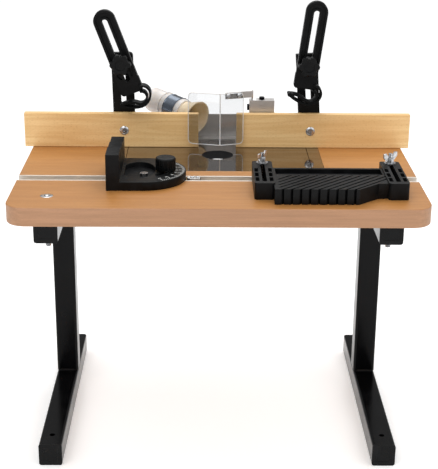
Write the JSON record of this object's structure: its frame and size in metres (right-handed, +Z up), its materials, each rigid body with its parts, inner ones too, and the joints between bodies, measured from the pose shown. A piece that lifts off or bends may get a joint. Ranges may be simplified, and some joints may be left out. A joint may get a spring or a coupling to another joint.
{
  "type": "router table",
  "caption": "Bench-top router table: wooden top on H-shaped steel legs, split sliding fence, clear guard, dust port, hold-down arms, mitre gauge and featherboard.",
  "frame": {"origin": "on the floor plane, under the middle of the whole table's bounding box", "axes": "+Z up, +Y away from the operator towards the fence, +X along the fence to the operator's right"},
  "size_m": [0.635, 0.4728, 0.644],
  "materials": {
    "laminated_board": "beech-pattern laminate, satin",
    "solid_beech": "planed beech, clear lacquer",
    "anodised_aluminium": "extruded, satin anodised",
    "ground_steel": "ground, bright",
    "galvanised_steel": "zinc plated sheet",
    "zinc_fasteners": "bright zinc plated",
    "black_fasteners": "black oxide",
    "black_powder_coat": "glossy black powder coat",
    "black_nylon": "moulded, fine texture",
    "black_knob_plastic": "moulded knob plastic",
    "clear_acrylic": "polished clear sheet",
    "milky_plastic": "translucent milky plastic"
  },
  "bodies": {
    "table": {"table_top": "laminated_board", "mitre_track": "anodised_aluminium", "track_screws": "zinc_fasteners", "insert_plate": "ground_steel", "insert_strips": "ground_steel", "insert_screws": "zinc_fasteners", "insert_ring": "ground_steel", "foot_tube_left": "black_powder_coat", "foot_tube_right": "black_powder_coat", "rail_tube_left": "black_powder_coat", "rail_tube_right": "black_powder_coat", "upright_tube_left": "black_powder_coat", "upright_tube_right": "black_powder_coat", "foot_caps": "black_knob_plastic", "rail_caps": "black_knob_plastic", "table_bolts": "zinc_fasteners", "table_nuts": "zinc_fasteners"},
    "fence_carriage": {"fence_channel": "galvanised_steel", "clamp_bolts": "zinc_fasteners", "guard_bracket": "galvanised_steel", "guard_stop_screw": "black_fasteners", "guard_pivot_bolt": "black_fasteners", "bracket_bolts": "zinc_fasteners", "dust_nozzle": "milky_plastic", "dust_hose_tube": "milky_plastic", "dust_band": "zinc_fasteners"},
    "guard": {"guard_panel": "clear_acrylic", "guard_strap": "galvanised_steel", "guard_screws": "zinc_fasteners"},
    "gauge_bar": {"mitre_bar": "ground_steel", "mitre_pivot_screw": "zinc_fasteners", "mitre_stud": "zinc_fasteners", "mitre_washer": "zinc_fasteners", "mitre_pointer": "galvanised_steel", "pointer_screws": "zinc_fasteners"},
    "gauge_head": {"mitre_head": "black_nylon"},
    "gauge_knob": {"mitre_knob": "black_knob_plastic"},
    "feather_bolts": {"t_bolts": "zinc_fasteners", "feather_washers": "zinc_fasteners"},
    "feather_body": {"featherboard": "black_nylon"},
    "clamp_knob_left": {"clamp_knob_left": "black_knob_plastic"},
    "fence_half_left": {"fence_face_left": "solid_beech", "face_bolt_left": "zinc_fasteners"},
    "face_knob_left": {"face_knob_left": "black_knob_plastic"},
    "post_left": {"hold_post_left": "black_nylon"},
    "post_clamp_left": {"hold_spacer_left": "black_nylon"},
    "arm_bolt_left": {"hold_bolt_left": "zinc_fasteners"},
    "arm_left": {"hold_arm_left": "black_nylon"},
    "arm_knob_left": {"hold_knob_left": "black_knob_plastic"},
    "wing_nut_left": {"wing_nut_left": "zinc_fasteners"},
    "clamp_knob_right": {"clamp_knob_right": "black_knob_plastic"},
    "fence_half_right": {"fence_face_right": "solid_beech", "face_bolt_right": "zinc_fasteners"},
    "face_knob_right": {"face_knob_right": "black_knob_plastic"},
    "post_right": {"hold_post_right": "black_nylon"},
    "post_clamp_right": {"hold_spacer_right": "black_nylon"},
    "arm_bolt_right": {"hold_bolt_right": "zinc_fasteners"},
    "arm_right": {"hold_arm_right": "black_nylon"},
    "arm_knob_right": {"hold_knob_right": "black_knob_plastic"},
    "wing_nut_right": {"wing_nut_right": "zinc_fasteners"}
  },
  "joints": [
    {"name": "fence_slide", "type": "slide", "parent": "table", "child": "fence_carriage", "axis": [0, 1, 0], "range_m": [-0.02, 0.03]},
    {"name": "guard_hinge", "type": "hinge", "parent": "fence_carriage", "child": "guard", "pos_m": [0.056, 0.12861, 0.463], "axis": [-1, 0, 0], "range_deg": [0, 100]},
    {"name": "gauge_slide", "type": "slide", "parent": "table", "child": "gauge_bar", "axis": [1, 0, 0], "range_m": [-0.13, 0.05]},
    {"name": "gauge_angle", "type": "hinge", "parent": "gauge_bar", "child": "gauge_head", "pos_m": [-0.113, -0.06989, 0.4003], "axis": [0, 0, 1], "range_deg": [-50, 50]},
    {"name": "gauge_knob_spin", "type": "hinge", "parent": "gauge_bar", "child": "gauge_knob", "pos_m": [-0.08, -0.06989, 0.4133], "axis": [0, 0, 1], "continuous": true},
    {"name": "feather_bolt_slide", "type": "slide", "parent": "table", "child": "feather_bolts", "axis": [1, 0, 0], "range_m": [-0.01, 0.025]},
    {"name": "feather_slide", "type": "slide", "parent": "feather_bolts", "child": "feather_body", "axis": [0, 1, 0], "range_m": [0, 0.088]},
    {"name": "clamp_knob_spin_left", "type": "hinge", "parent": "fence_carriage", "child": "clamp_knob_left", "pos_m": [-0.215, 0.14261, 0.405], "axis": [0, 0, 1], "continuous": true},
    {"name": "fence_half_slide_left", "type": "slide", "parent": "fence_carriage", "child": "fence_half_left", "axis": [1, 0, 0], "range_m": [-0.019, 0.019]},
    {"name": "face_knob_spin_left", "type": "hinge", "parent": "fence_half_left", "child": "face_knob_left", "pos_m": [-0.1535, 0.12831, 0.4285], "axis": [0, 1, 0], "continuous": true},
    {"name": "post_tilt_left", "type": "hinge", "parent": "fence_half_left", "child": "post_left", "pos_m": [-0.1535, 0.11831, 0.4285], "axis": [0, 1, 0], "range_deg": [-15, 15]},
    {"name": "post_clamp_slide_left", "type": "slide", "parent": "post_left", "child": "post_clamp_left", "axis": [-0.0209, 0, 0.9998], "range_m": [-0.065, 0]},
    {"name": "arm_swivel_left", "type": "hinge", "parent": "post_clamp_left", "child": "arm_bolt_left", "pos_m": [-0.15591, 0.09961, 0.54348], "axis": [0, 1, 0], "range_deg": [-24, 65]},
    {"name": "arm_slide_left", "type": "slide", "parent": "arm_bolt_left", "child": "arm_left", "axis": [0.3518, 0, -0.9361], "range_m": [-0.027, 0.055]},
    {"name": "arm_knob_spin_left", "type": "hinge", "parent": "arm_bolt_left", "child": "arm_knob_left", "pos_m": [-0.15591, 0.08861, 0.54348], "axis": [0, 1, 0], "continuous": true},
    {"name": "wing_nut_spin_left", "type": "hinge", "parent": "feather_bolts", "child": "wing_nut_left", "pos_m": [0.066, -0.06989, 0.4267], "axis": [0, 0, 1], "continuous": true},
    {"name": "clamp_knob_spin_right", "type": "hinge", "parent": "fence_carriage", "child": "clamp_knob_right", "pos_m": [0.215, 0.14261, 0.405], "axis": [0, 0, 1], "continuous": true},
    {"name": "fence_half_slide_right", "type": "slide", "parent": "fence_carriage", "child": "fence_half_right", "axis": [-1, 0, 0], "range_m": [-0.019, 0.019]},
    {"name": "face_knob_spin_right", "type": "hinge", "parent": "fence_half_right", "child": "face_knob_right", "pos_m": [0.1535, 0.12831, 0.4285], "axis": [0, 1, 0], "continuous": true},
    {"name": "post_tilt_right", "type": "hinge", "parent": "fence_half_right", "child": "post_right", "pos_m": [0.1535, 0.11831, 0.4285], "axis": [0, -1, 0], "range_deg": [-15, 15]},
    {"name": "post_clamp_slide_right", "type": "slide", "parent": "post_right", "child": "post_clamp_right", "axis": [-0.0698, 0, 0.9976], "range_m": [-0.065, 0]},
    {"name": "arm_swivel_right", "type": "hinge", "parent": "post_clamp_right", "child": "arm_bolt_right", "pos_m": [0.14555, 0.09961, 0.54222], "axis": [0, -1, 0], "range_deg": [-37, 52]},
    {"name": "arm_slide_right", "type": "slide", "parent": "arm_bolt_right", "child": "arm_right", "axis": [-0.1288, 0, -0.9917], "range_m": [-0.013, 0.062]},
    {"name": "arm_knob_spin_right", "type": "hinge", "parent": "arm_bolt_right", "child": "arm_knob_right", "pos_m": [0.14555, 0.08861, 0.54222], "axis": [0, 1, 0], "continuous": true},
    {"name": "wing_nut_spin_right", "type": "hinge", "parent": "feather_bolts", "child": "wing_nut_right", "pos_m": [0.26, -0.06989, 0.4267], "axis": [0, 0, 1], "continuous": true}
  ]
}
